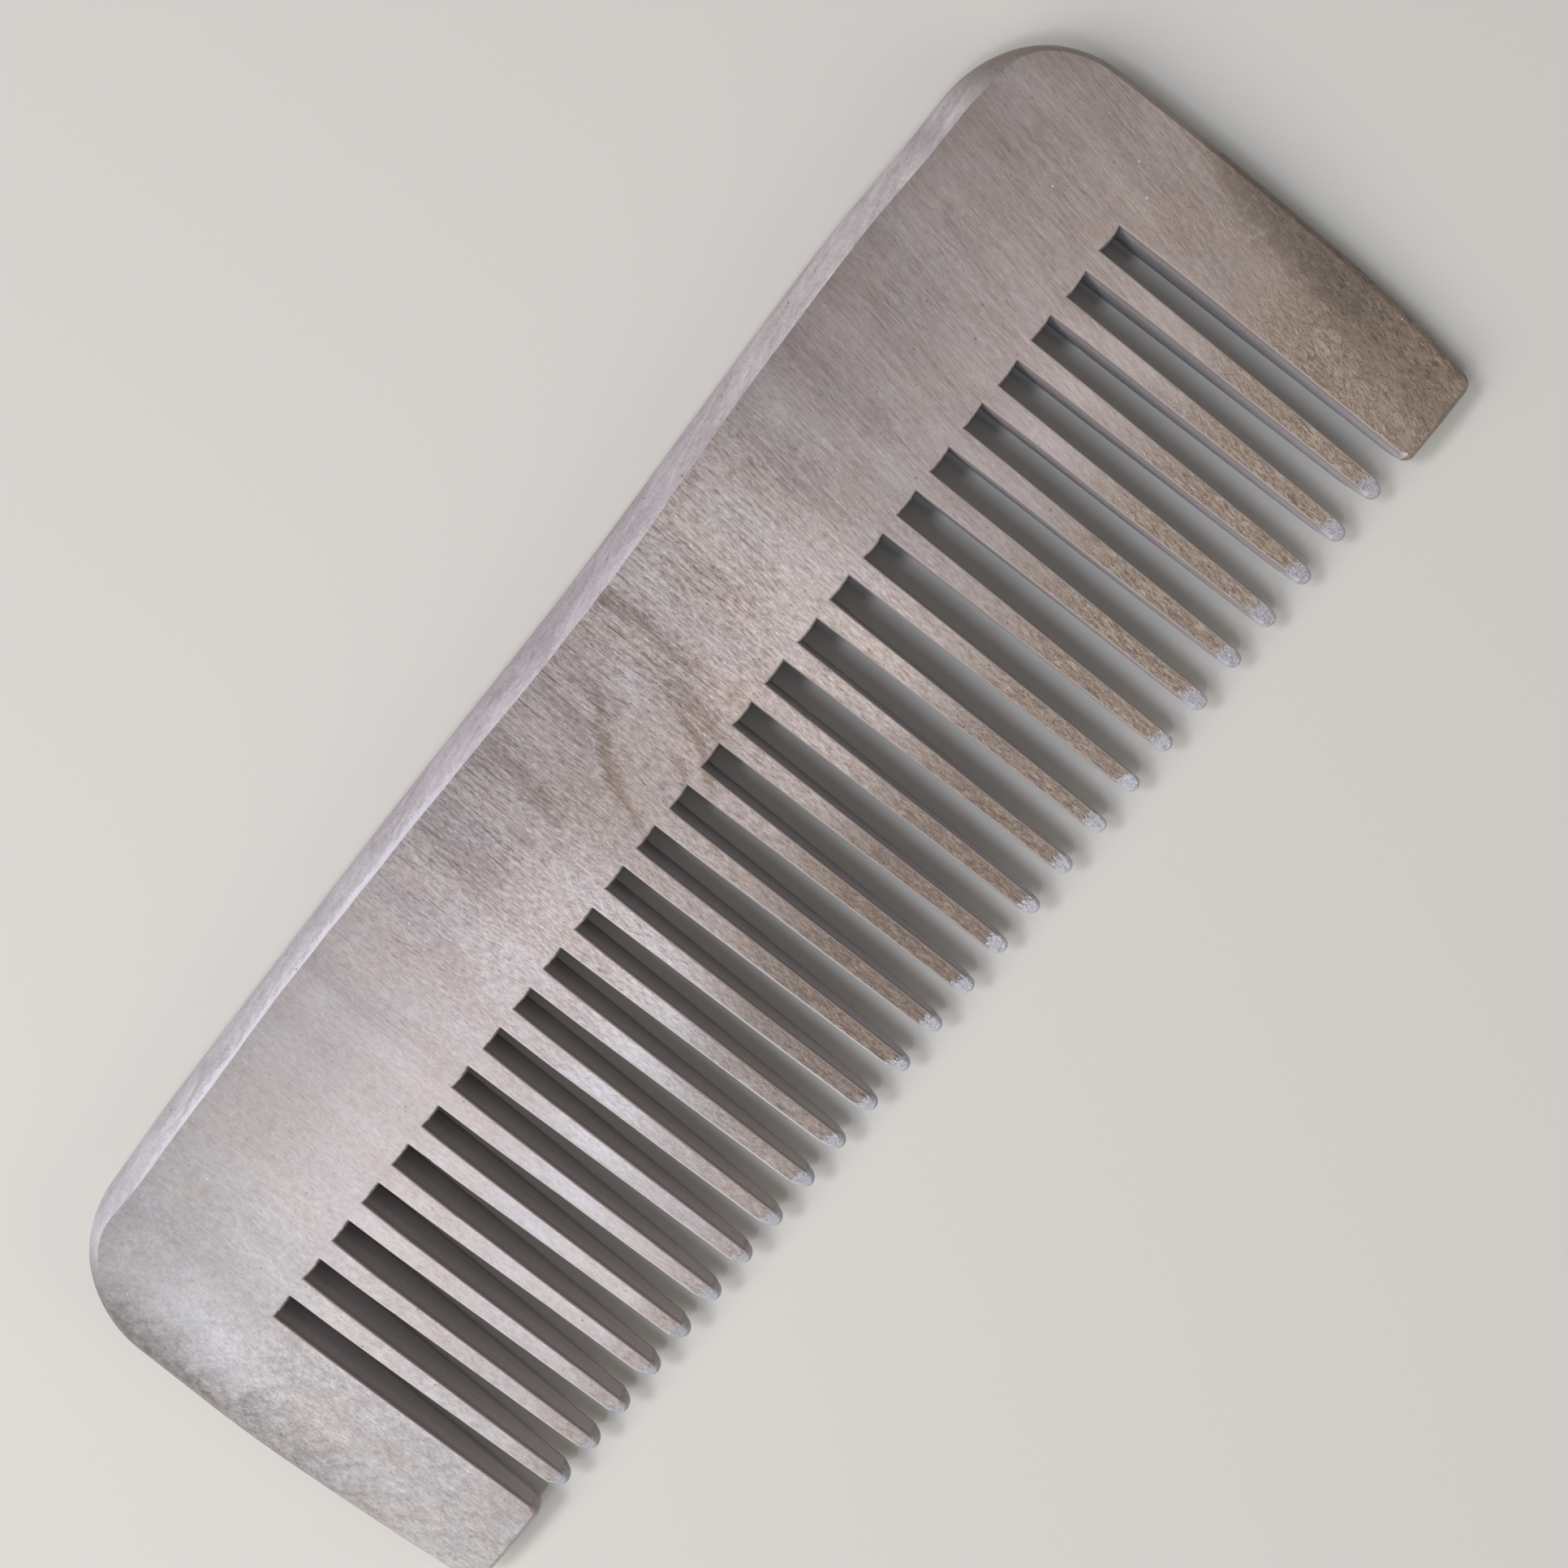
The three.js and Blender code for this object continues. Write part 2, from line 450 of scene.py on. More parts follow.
def far_from(points, rim, gap):
    """Which points keep a gap from every point of the rim."""
    rim = np.array(rim)
    keep = np.ones(len(points), dtype=bool)
    for start in range(0, len(points), 500):
        part = points[start:start + 500]
        apart = np.linalg.norm(part[:, None] - rim[None], axis=2).min(axis=1)
        keep[start:start + 500] = apart > gap
    return keep


def fill(rim):
    """The face inside the rim as (points, triangles); the rim's points come first."""
    loose = inner_points()
    loose = loose[inside(loose, rim)]
    loose = loose[far_from(loose, rim, CREASE_GAP)]
    points = [Vector(p) for p in rim] + [Vector(p) for p in loose]
    made = geometry.delaunay_2d_cdt(points, [], [list(range(len(rim)))], 1, 1e-7, True)
    order = {}
    for new, originals in enumerate(made[3]):
        for original in originals:
            order[new] = original
    triangles = np.array([[order[v] for v in triangle] for triangle in made[2]])
    places = np.array([tuple(p) for p in points])
    within = inside(places[triangles].mean(axis=1), rim)
    return places.tolist(), triangles[within].tolist()


def rounded(reach, depth, angle, half, step):
    """Inset and drop at one step down the rounding and the wall below it, for one edge point."""
    depth = min(depth, DEEPEST_ROUNDING * half)
    begin = math.radians(angle)
    if step > ROUNDING_STEPS:
        return 0, depth + (half - depth) * (step - ROUNDING_STEPS) / WALL_RINGS
    turn = begin + (math.pi / 2 - begin) * step / ROUNDING_STEPS
    inset = reach * (1 - (math.sin(turn) - math.sin(begin)) / (1 - math.sin(begin)))
    drop = depth * (math.cos(begin) - math.cos(turn)) / math.cos(begin)
    return inset, drop


class Comb:
    """The comb as one closed mesh: two faces, and rings of points round the edge between."""

    def __init__(self):
        rim = teeth_rim() + back_rim()
        self.edge = np.array([(x, y) for x, y, _ in rim])
        self.kinds = [kind for _, _, kind in rim]
        self.into = inward(self.edge)
        self.values = edge_values(self.edge, self.kinds)
        self.crease = self.edge + self.into * self.values[:, :1]
        self.vertices, self.faces, self.zones = [], [], []
        self.fill_faces()
        self.wrap_edge()

    def fill_faces(self):
        """The upper and the lower face, each with its own unevenness."""
        points, triangles = fill(self.crease + self.into * BORDER)
        for face in (1, -1):
            start = len(self.vertices)
            heights = [MIDDLE + face * half_thickness(x, y, face) for x, y in points]
            self.vertices += [(x, y, z) for (x, y), z in zip(points, heights)]
            for a, b, c in triangles:
                self.faces.append((start + a, start + b, start + c)[::face])
                self.zones.append("face")
        self.under_start = len(points)

    def ring(self, face, step):
        """One ring of the rounding or of the wall below it, as a list of vertex numbers."""
        start = len(self.vertices)
        for i, half in enumerate(self.crease_halves[face]):
            inset, drop = rounded(*self.values[i], half, step)
            x, y = self.edge[i] + self.into[i] * inset
            self.vertices.append((x, y, MIDDLE + face * (half - drop)))
        return list(range(start, len(self.vertices)))

    def wrap_edge(self):
        """The flat borders, the rounded edges and the walls, from the upper face to the lower."""
        self.crease_halves = {
            face: [half_thickness(x, y, face) for x, y in self.crease] for face in (1, -1)
        }
        count = len(self.edge)
        last = ROUNDING_STEPS + WALL_RINGS
        self.rings = [list(range(count))]
        self.rings += [self.ring(1, step) for step in range(last + 1)]
        self.rings += [self.ring(-1, step) for step in range(last - 1, -1, -1)]
        self.rings += [list(range(self.under_start, self.under_start + count))]
        for level, (upper, lower) in enumerate(zip(self.rings, self.rings[1:])):
            on_border = level in (0, len(self.rings) - 2)
            for i in range(count):
                j = (i + 1) % count
                self.faces.append((upper[i], lower[i], lower[j], upper[j]))
                self.zones.append("face" if on_border else self.kinds[i])

    def sanded(self):
        """At each vertex, how far it is past the start of a sanded flat, in millimetres."""
        far_before = -9.0
        amounts = [far_before] * len(self.vertices)
        for i, (x, y, z) in enumerate(self.vertices):
            if on_teeth(x, y):
                amounts[i] = past_flat(x, y, 1 if z > MIDDLE else -1)
        return amounts

    def arris(self):
        """At each vertex, 1 on the worn edges of the slots."""
        amounts = [0.0] * len(self.vertices)
        for level, ring in enumerate(self.rings):
            from_crease = min(level, len(self.rings) - 1 - level) - 1
            rounding = 0 < from_crease <= ROUNDING_STEPS
            amount = 0.3 if from_crease == 0 else 1.0 if rounding else 0.0
            for kind, vertex in zip(self.kinds, ring):
                if kind == "slot":
                    amounts[vertex] = amount
        return amounts

    def leftward(self):
        """At each vertex of the edge, how squarely it faces left, where the arrises get their
        painted highlight.
        """
        amounts = [0.0] * len(self.vertices)
        for ring in self.rings:
            for direction, vertex in zip(self.into, ring):
                amounts[vertex] = min(1.0, max(0.0, direction[0]))
        return amounts

    def mesh(self):
        """The Blender mesh, with a finish for each face and what the finishes need to know."""
        mesh = bpy.data.meshes.new("comb")
        mesh.from_pydata([tuple(c * MM for c in v) for v in self.vertices], [], self.faces)
        mesh.update()
        finishes = list(FINISHES)
        for polygon, zone in zip(mesh.polygons, self.zones):
            polygon.use_smooth = True
            polygon.material_index = finishes.index(EDGE_FINISH.get(zone, "face"))
        mesh.set_sharp_from_angle(angle=math.radians(SHARP_ANGLE))
        for measure in (self.sanded, self.arris, self.leftward):
            attribute = mesh.attributes.new(measure.__name__, "FLOAT", "POINT")
            attribute.data.foreach_set("value", measure())
        return mesh


# ------------------------ wood


# Patterns in the wood, as noise about 0: what they follow, their scale per millimetre
# along X, Y and Z, their shift, detail, roughness and distortion
PATTERNS = {
    # The plank's broad clouds, growth bands, fibre lines and flecks
    "bend": ("place", (0.10, 0.10, 0.10), (0, 0, 0), 2.0, 0.50, 0.0),
    "cloud": ("place", (0.045, 0.03, 0.06), (0, 0, 0), 3.0, 0.60, 0.0),
    "patch": ("place", (0.14, 0.07, 0.14), (5, 8, 2), 4.0, 0.65, 0.5),
    "blotches": ("place", (0.42, 0.26, 0.42), (9, 4, 1), 4.0, 0.70, 0.6),
    "mottle": ("place", (1.25, 0.90, 1.25), (3, 1, 7), 4.0, 0.85, 0.0),
    "grit": ("place", (2.9, 2.3, 2.9), (6, 4, 9), 3.0, 0.85, 0.0),
    "bands": ("fibres", (0.30, 0.012, 0.30), (0, 0, 0), 2.0, 0.50, 0.0),
    "stripes": ("fibres", (1.1, 0.05, 1.1), (7, 3, 1), 2.0, 0.50, 0.0),
    "lines": ("fibres", (3.3, 0.20, 3.3), (1, 9, 4), 3.0, 0.80, 0.0),
    "flecks": ("fibres", (3.4, 0.80, 3.4), (5, 2, 8), 3.0, 0.85, 0.0),
    "pits": ("fibres", (3.3, 0.9, 3.3), (2, 6, 3), 2.0, 0.50, 0.0),
    "drawn": ("fibres", (3.9, 0.13, 3.9), (8, 2, 5), 2.0, 0.50, 0.0),
    "glinting_ends": ("fibres", (3.6, 1.2, 3.6), (6, 6, 1), 2.0, 0.50, 0.0),
    # Bare and worn wood
    "leather": ("fibres", (1.5, 0.62, 1.5), (4, 4, 4), 3.0, 0.60, 1.1),
    "coarse": ("fibres", (3.1, 0.8, 3.1), (8, 1, 2), 3.0, 0.85, 0.7),
    "torn": ("fibres", (1.0, 2.2, 1.0), (4, 9, 2), 3.0, 0.80, 0.0),
    "bristle": ("fibres", (6.0, 0.35, 6.0), (3, 7, 5), 2.0, 0.60, 0.0),
    "wear": ("place", (0.9, 0.6, 0.9), (6, 2, 9), 5.0, 0.85, 0.0),
    "scuffs": ("scuffed", (1.0, 1.0, 1.0), (0, 0, 0), 3.0, 0.70, 0.0),
    # The end grain of the spine
    "wave": ("facet", (0.10, 0.55, 0.55), (2, 2, 2), 4.0, 0.65, 1.2),
    "close": ("facet", (0.8, 1.8, 1.8), (4, 1, 6), 3.0, 0.65, 0.0),
    "dots": ("place", (3.0, 3.0, 3.0), (1, 5, 2), 3.0, 0.80, 0.0),
    # The sawn walls
    "saw_lines": ("place", (1.2, 0.05, 1.6), (3, 1, 4), 3.0, 0.60, 0.0),
    "cuts": ("place", (0.4, 2.6, 0.25), (6, 6, 1), 2.0, 0.60, 0.0),
    "saw_dots": ("place", (5.0, 3.0, 5.0), (9, 3, 3), 2.0, 0.60, 0.0),
}


class Nodes:
    """Short names for the shader nodes that the wood is made of."""

    def __init__(self, name):
        self.material = bpy.data.materials.new(name)
        self.material.use_nodes = True
        self.tree = self.material.node_tree
        self.shader = self.tree.nodes["Principled BSDF"]

    def put(self, value, socket):
        """Link a socket to another, or set its value."""
        if isinstance(value, bpy.types.NodeSocket):
            self.tree.links.new(value, socket)
        else:
            socket.default_value = value

    def math(self, operation, *values, kind="ShaderNodeMath"):
        node = self.tree.nodes.new(kind)
        node.operation = operation
        for value, socket in zip(values, node.inputs):
            self.put(value, socket)
        return node.outputs[0]

    def vector(self, operation, *values):
        return self.math(operation, *values, kind="ShaderNodeVectorMath")

    def add(self, first, *others):
        for other in others:
            first = self.math("ADD", first, other)
        return first

    def minus(self, a, b):
        return self.math("SUBTRACT", a, b)

    def times(self, first, *others):
        for other in others:
            first = self.math("MULTIPLY", first, other)
        return first

    def most(self, a, b):
        return self.math("MAXIMUM", a, b)

    def linear(self, value, slope, start):
        """The value times the slope, plus the start."""
        return self.math("MULTIPLY_ADD", value, slope, start)

    def between(self, amount, none, full):
        """A number that goes from none to full as the amount goes from 0 to 1."""
        return self.linear(amount, full - none, none)

    def step(self, value, start, end):
        """0 at start, 1 at end, and smooth between; start may be the larger."""
        node = self.tree.nodes.new("ShaderNodeMapRange")
        node.interpolation_type = "SMOOTHSTEP"
        flip = end < start
        self.put(value, node.inputs["Value"])
        node.inputs["From Min"].default_value = end if flip else start
        node.inputs["From Max"].default_value = start if flip else end
        node.inputs["To Min"].default_value = 1.0 if flip else 0.0
        node.inputs["To Max"].default_value = 0.0 if flip else 1.0
        return node.outputs[0]

    def point(self, x, y, z):
        node = self.tree.nodes.new("ShaderNodeCombineXYZ")
        for value, socket in zip((x, y, z), node.inputs):
            self.put(value, socket)
        return node.outputs[0]

    def stretch(self, point, scale, shift=(0.0, 0.0, 0.0)):
        return self.vector("MULTIPLY_ADD", point, scale, shift)

    def noise(self, point, detail, roughness, distortion):
        """Noise about 0, from roughly -1 to 1."""
        node = self.tree.nodes.new("ShaderNodeTexNoise")
        self.put(point, node.inputs["Vector"])
        node.inputs["Scale"].default_value = 1.0
        node.inputs["Detail"].default_value = detail
        node.inputs["Roughness"].default_value = roughness
        node.inputs["Distortion"].default_value = distortion
        return self.linear(node.outputs[0], 4.0, -2.0)

    def cells(self, point):
        """Scattered points: the distance to the nearest, and a random number for it."""
        node = self.tree.nodes.new("ShaderNodeTexVoronoi")
        self.put(point, node.inputs["Vector"])
        node.inputs["Scale"].default_value = 1.0
        split = self.tree.nodes.new("ShaderNodeSeparateColor")
        self.put(node.outputs["Color"], split.inputs[0])
        return node.outputs["Distance"], split.outputs[0]

    def mix(self, amount, a, b):
        """Colour a where the amount is 0, and colour b where it is 1."""
        node = self.tree.nodes.new("ShaderNodeMix")
        node.data_type = "RGBA"
        self.put(amount, node.inputs[0])
        for value, socket in ((a, node.inputs[6]), (b, node.inputs[7])):
            linked = isinstance(value, bpy.types.NodeSocket)
            self.put(value if linked else (*value, 1.0), socket)
        return node.outputs[2]

    def bright(self, colour, factor):
        """A colour made lighter or darker all through."""
        node = self.tree.nodes.new("ShaderNodeVectorMath")
        node.operation = "SCALE"
        self.put(colour, node.inputs[0])
        self.put(factor, node.inputs["Scale"])
        return node.outputs[0]

    def tint(self, colour, by):
        """A colour multiplied by another."""
        return self.vector("MULTIPLY", colour, by)

    def ramp(self, value, stops):
        node = self.tree.nodes.new("ShaderNodeValToRGB")
        self.put(value, node.inputs[0])
        elements = node.color_ramp.elements
        node.color_ramp.interpolation = "EASE"
        while len(elements) < len(stops):
            elements.new(0.5)
        for element, (place, colour) in zip(elements, stops):
            element.position = place
            element.color = (*colour, 1.0)
        return node.outputs[0]

    def attribute(self, name):
        node = self.tree.nodes.new("ShaderNodeAttribute")
        node.attribute_name = name
        return node.outputs["Fac"]

    def bump(self, height, depth, below=None):
        """Relief of a given depth in millimetres."""
        node = self.tree.nodes.new("ShaderNodeBump")
        node.inputs["Strength"].default_value = 1.0
        node.inputs["Distance"].default_value = depth * MM
        self.put(height, node.inputs["Height"])
        if below is not None:
            self.put(below, node.inputs["Normal"])
        return node.outputs[0]


class Wood(Nodes):
    """A wood material: places in the plank in millimetres, and the patterns that follow them."""

    def __init__(self, name):
        super().__init__(name)
        coords = self.tree.nodes.new("ShaderNodeTexCoord").outputs["Object"]
        place = self.stretch(coords, (1 / MM, 1 / MM, 1 / MM))
        split = self.tree.nodes.new("ShaderNodeSeparateXYZ")
        self.put(place, split.inputs[0])
        self.x, self.y, self.z = x, y, z = split.outputs
        self.made = {}

        # The fibres lean more to the right, and the spine's clouds and the scuffs slant too
        lean = self.between(self.step(x, 5, 75), 0.03, 0.18)
        slow = self.noise(self.stretch(place, (0.05, 0.03, 0.05)), 1.0, 0.5, 0.0)
        across = self.add(self.minus(x, self.times(y, lean)), self.times(slow, 0.5))
        along, aside = self.times(self.add(x, y), 0.75), self.times(self.minus(y, x), 0.16)
        self.spaces = {
            "place": place,
            "fibres": self.point(across, y, z),
            "facet": self.point(x, self.add(y, self.times(x, -0.12)), z),
            "scuffed": self.point(along, aside, z),
        }

    def pattern(self, name):
        """One of the patterns, made once for each material."""
        if name not in self.made:
            follows, scale, shift, detail, roughness, distortion = PATTERNS[name]
            point = self.stretch(self.spaces[follows], scale, shift)
            self.made[name] = self.noise(point, detail, roughness, distortion)
        return self.made[name]

    def patterns(self, *names):
        return [self.pattern(name) for name in names]


# The plank's colour from one end to the other: greyer sapwood to the left, a brown
# heart line a little left of the middle, and pinkish wood to the right. The paler left,
# and its sudden end just left of the heart line, are partly painted sheen of the windows
TONES = [
    (-90, (0.252, 0.234, 0.226)),
    (-52, (0.297, 0.259, 0.250)),
    (-22, (0.312, 0.265, 0.252)),
    (-6, (0.256, 0.209, 0.188)),
    (3, (0.260, 0.210, 0.188)),
    (12, (0.288, 0.235, 0.211)),
    (27, (0.346, 0.291, 0.264)),
    (46, (0.230, 0.190, 0.173)),
    (62, (0.244, 0.200, 0.182)),
    (90, (0.214, 0.169, 0.142)),
]
TONES_START, TONES_LENGTH = -90, 180

# Figure in the wood: brown growth lines, mauve shadows and pale gleams, each with its
# start, end, half width and strength. One mauve mark is painted sheen rather than figure
BROWN_LINES = [
    ((-4.9, 7.5), (-0.9, 14.2), 0.80, 0.95),
    ((-1.3, 13.4), (3.6, 20.6), 0.85, 1.10),
    ((1.4, 5.0), (4.6, 10.0), 0.50, 1.20),
    ((4.8, 5.2), (8.7, 12.0), 0.54, 1.20),
    ((8.6, 7.5), (11.6, 16.5), 1.30, 0.75),
    ((-8.4, 16.5), (-6.4, 28.5), 1.40, 0.55),
    ((13.0, 13.0), (13.7, 28.0), 0.70, 0.65),
    ((-13.6, 8.0), (-8.5, 20.0), 0.50, 0.45),
]
SHADOWS = [
    ((3.5, 19.0), (7.0, 27.0), 1.60, 0.55),
    ((12.6, 17.0), (13.6, 29.0), 1.30, 0.70),
    ((-9.0, 17.0), (-6.8, 28.0), 1.50, 0.70),
    ((-19.5, 16.0), (-18.2, 28.5), 3.20, 0.95),
    ((-0.6, 18.0), (1.6, 28.5), 1.50, 0.75),
    ((-15.5, 20.0), (-14.8, 28.5), 1.00, 0.60),
    ((-29.0, 12.0), (-27.0, 28.0), 1.50, 0.50),
    ((-40.0, 18.0), (-39.0, 29.0), 2.20, 0.30),
    # Painted sheen: the lilac cloud that a window's reflection leaves on the back by the left
    # guard
    ((-77.0, 7.0), (-72.0, 22.0), 3.60, 0.34),
    ((35.0, 12.0), (38.0, 28.0), 2.20, 0.62),
    ((45.0, 14.0), (47.5, 29.0), 1.60, 0.58),
    ((57.0, 14.0), (61.0, 29.0), 2.00, 0.40),
    ((66.0, 8.0), (67.0, 24.0), 1.60, 0.25),
]
GLEAMS = [
    ((-81.5, 8.0), (-78.0, 18.0), 2.20, 0.45),
    ((-83.0, 0.0), (-79.0, 8.0), 3.00, 0.45),
    ((-14.2, -6.0), (-13.2, 13.0), 1.50, 0.80),
    ((-25.0, 5.0), (-24.0, 20.0), 2.50, 0.35),
    ((40.5, 16.0), (41.8, 29.0), 1.30, 0.40),
    ((26.0, 4.0), (27.0, 24.0), 2.00, 0.25),
    ((80.5, 27.0), (86.5, 18.0), 3.40, 0.32),
    ((6.9, 17.8), (8.1, 19.8), 0.75, 1.60),
]
FIGURE = [
    (BROWN_LINES, 0.74, (0.140, 0.092, 0.056)),
    (SHADOWS, 0.52, (0.150, 0.108, 0.104)),
    (GLEAMS, 0.45, (0.400, 0.372, 0.385)),
]

# Bare wood is browner in the middle than to the left, and redder to the right. Its brown is
# partly painted shade, where the sloping faces lose the windows' sheen
BARE_LEFT = (0.264, 0.213, 0.183)
BARE_MIDDLE = (0.184, 0.134, 0.097)
BARE_RIGHT = (0.270, 0.203, 0.148)
# The right guard's outer edge: brown rough wood, its darkness partly painted shade
EDGE_BROWN = (0.112, 0.081, 0.058)
LOW_EDGE_BROWN = (0.186, 0.136, 0.099)

ARRIS_BROWN = (0.225, 0.170, 0.130)
# Pale raised fibre and a painted highlight, on arrises facing the light on the left
LIT_RAISED_FIBRE = (0.52, 0.49, 0.475)
PALE_SPECK = (0.62, 0.60, 0.60)
DARK_SPECK = (0.10, 0.075, 0.06)

# Pale sanded fibre at the tips, with the sky's lilac reflection painted in
TIP_LEFT = (0.37, 0.37, 0.40)
TIP_MIDDLE = (0.56, 0.55, 0.59)
TIP_RIGHT = (0.43, 0.41, 0.44)

# The spine's facet: pale end grain, its paleness and lilac tint partly painted sheen, most to the
# left, and a painted glint along its edge
FACET_LEFT = (0.402, 0.363, 0.379)
FACET_MIDDLE = (0.354, 0.303, 0.317)
FACET_RIGHT = (0.396, 0.346, 0.347)
FACET_GLINT = (0.62, 0.60, 0.67)
FACET_SMUDGE = (0.13, 0.11, 0.115)

# The walls: paler and bluer to the right, where they face the windows, as painted light; the tips'
# bluish tint is the sky's reflection, painted in
WALL_LEFT = (0.310, 0.280, 0.278)
WALL_RIGHT = (0.325, 0.300, 0.312)
WALL_TIP = (0.42, 0.42, 0.48)


def plank_tone(w):
    """How light the grain is from place to place, as a colour about 1, and where its pores are."""
    x, y = w.x, w.y
    # The fibres stand out most in the middle of the back, near the spine, and hardly to the left
    middle = w.times(w.step(x, -46, -14), w.step(x, 50, 16))
    open_grain = w.times(middle, w.step(y, 8, 24))
    line_depth = w.add(w.between(w.step(x, -30, 30), 0.04, 0.28), w.times(open_grain, 0.34))
    mottle_depth = w.between(w.step(x, -46, -76), 0.14, 0.30)
    mottle_depth = w.minus(mottle_depth, w.times(w.step(x, 16, 46), 0.06))
    grit_depth = w.times(w.step(x, -60, -80), w.step(y, -14, 4), 0.26)

    # Short dark pores, the dark lines that they draw out near the spine, and bright fibre ends
    # with painted glints
    pores = w.step(w.pattern("pits"), 0.62, 1.05)
    drawn = w.times(w.step(w.pattern("drawn"), 0.46, 0.86), open_grain)
    glinting_ends = w.step(w.pattern("glinting_ends"), 0.75, 1.20)

    depths = {
        "bands": 0.09,
        "stripes": w.between(middle, 0.03, 0.08),
        "lines": line_depth,
        "flecks": w.between(middle, 0.24, 0.70),
        "mottle": mottle_depth,
        "grit": grit_depth,
        "blotches": w.between(w.step(x, -40, -70), 0.025, 0.080),
        "cloud": 0.075,
        "patch": 0.075,
    }
    tone = w.add(0.0, *(w.times(w.pattern(name), depth) for name, depth in depths.items()))
    tone = w.add(tone, w.times(pores, w.between(middle, -0.12, -0.34)))
    tone = w.add(tone, w.times(drawn, -0.70), w.times(glinting_ends, w.between(middle, 0.09, 0.67)))

    # What is darker in the grain is browner too
    return w.stretch(w.most(tone, -0.7), (0.88, 1.03, 1.10), (1.0, 1.0, 1.0)), pores


def streak(w, x, feather, start, end, half_width, strength):
    """A soft line in the wood from start to end, feathered along the fibres."""
    along = Vector(end) - Vector(start)
    length = along.length
    along.normalize()
    from_x, from_y = w.add(x, -start[0]), w.add(w.y, -start[1])
    place = w.add(w.times(from_x, along.x), w.times(from_y, along.y))
    aside = w.add(w.times(from_x, -along.y), w.times(from_y, along.x))
    aside = w.add(w.math("ABSOLUTE", aside), w.times(feather, half_width * 0.40))
    across = w.step(aside, half_width * 1.6, 0.0)
    fade = w.times(w.step(place, -3.0, 2.5), w.step(place, length + 3.0, length - 2.5))
    return w.times(across, fade, strength)


def plank_colour(w):
    """The colour of the plank before any finish, and where its pores are."""
    stripes, lines, flecks = w.patterns("stripes", "lines", "flecks")
    shifted = w.add(w.x, w.times(w.pattern("cloud"), 5.0))
    along = w.linear(shifted, 1 / TONES_LENGTH, -TONES_START / TONES_LENGTH)
    colour = w.ramp(along, [((x - TONES_START) / TONES_LENGTH, tone) for x, tone in TONES])

    tone, pores = plank_tone(w)
    colour = w.tint(colour, tone)
    warmth = w.add(w.times(w.pattern("patch"), 1.1), w.times(w.pattern("mottle"), 0.35))
    warm = w.tint(colour, (1.025, 0.985, 0.93))
    cool = w.tint(colour, (0.985, 1.0, 1.045))
    colour = w.mix(w.step(warmth, 1.0, -1.0), cool, warm)

    bent = w.add(w.x, w.pattern("bend"))
    feather = w.add(stripes, lines, w.times(flecks, 1.3))
    for marks, amount, mark_colour in FIGURE:
        figure = 0.0
        for mark in marks:
            figure = w.add(figure, streak(w, bent, feather, *mark))
        figure = w.times(w.math("MINIMUM", figure, 1.0), amount)
        colour = w.mix(figure, colour, w.tint(tone, mark_colour))
    return colour, pores


def shade_back(w, colour):
    """The back: painted sheen of the windows, paler towards the teeth and at the lower left, and
    darker just below the spine's facet.
    """
    x, y = w.x, w.y
    # Painted sheen: paler towards the teeth, less so in the middle
    sheen_part = w.times(w.step(x, -80, -50), w.step(x, 30, 12))
    heart = w.times(w.step(x, -15, -5), w.step(x, 15, 6))
    painted_sheen = w.minus(w.between(sheen_part, 0.23, 0.35), w.times(heart, 0.11))
    painted_sheen = w.times(w.step(y, 25, 8), painted_sheen)
    # Painted sheen at the left end: paler low down, a little darker higher up
    left = w.times(w.step(x, -64, -78), w.between(w.step(y, 14, -4), -0.10, 0.30))
    under_facet = w.step(w.add(y, w.times(w.pattern("lines"), 1.6)), 24.5, 28.8)
    shade = w.add(w.minus(painted_sheen, w.times(under_facet, 0.15)), left)
    return w.bright(colour, w.add(shade, 0.87))


def bare_teeth(w, colour, wrinkles, on_guard):
    """Bare, leathery wood where the teeth thin towards their tips: browner, partly as painted
    shade where the sloping faces lose the windows' sheen.
    """
    x, y = w.x, w.y
    leather, coarse = w.patterns("leather", "coarse")
    outer = w.most(w.step(x, -36, -54), w.step(x, 44, 58))
    on_outer_teeth = w.times(outer, w.minus(1.0, on_guard), w.step(y, 8, 2))
    colour = w.bright(colour, w.between(on_outer_teeth, 1.0, 1.13))

    right_of_guard = w.step(x, -81, -70)
    # Browner to the middle: bare wood, and painted shade where the faces slope away from the sheen
    brown_and_shade = w.times(w.between(w.step(x, -48, -8), 0.06, 1.0), right_of_guard)
    bare_and_shaded = w.times(w.step(y, 0.5, -17), brown_and_shade)
    low = w.times(w.step(y, -21.5, -28), right_of_guard)
    brown = w.mix(w.step(x, -40, -4), BARE_LEFT, BARE_MIDDLE)
    brown = w.mix(w.step(x, 12, 42), brown, BARE_RIGHT)
    tone = w.add(w.times(leather, 0.20), w.times(coarse, 0.80), w.times(wrinkles, -0.30))
    tone = w.stretch(tone, (0.9, 1.03, 1.1), (1.0, 1.0, 1.0))
    amount = w.most(w.times(bare_and_shaded, 0.84), w.times(low, 0.70))
    return w.mix(amount, colour, w.tint(tone, brown)), bare_and_shaded


def mottled_left_edge(w, colour):
    """The outer edge of the left guard tooth: darker, grey and mottled, with slanting scuffs."""
    x, y = w.x, w.y
    wear, scuffs, coarse = w.patterns("wear", "scuffs", "coarse")
    reach = w.add(x, w.times(w.add(wear, scuffs), 1.6))
    edge = w.times(w.step(reach, -81.5, -88.5), w.step(y, -24, -6), w.step(y, 29, 20))
    tone = w.linear(w.add(w.times(wear, 1.3), coarse), 0.24, 0.66)
    colour = w.mix(edge, colour, w.tint(w.bright(colour, tone), (1.02, 0.995, 0.96)))
    scuffed = w.times(w.step(x, -70, -80), w.step(scuffs, 0.25, -0.75))
    return w.bright(colour, w.between(scuffed, 1.03, 0.90)), edge


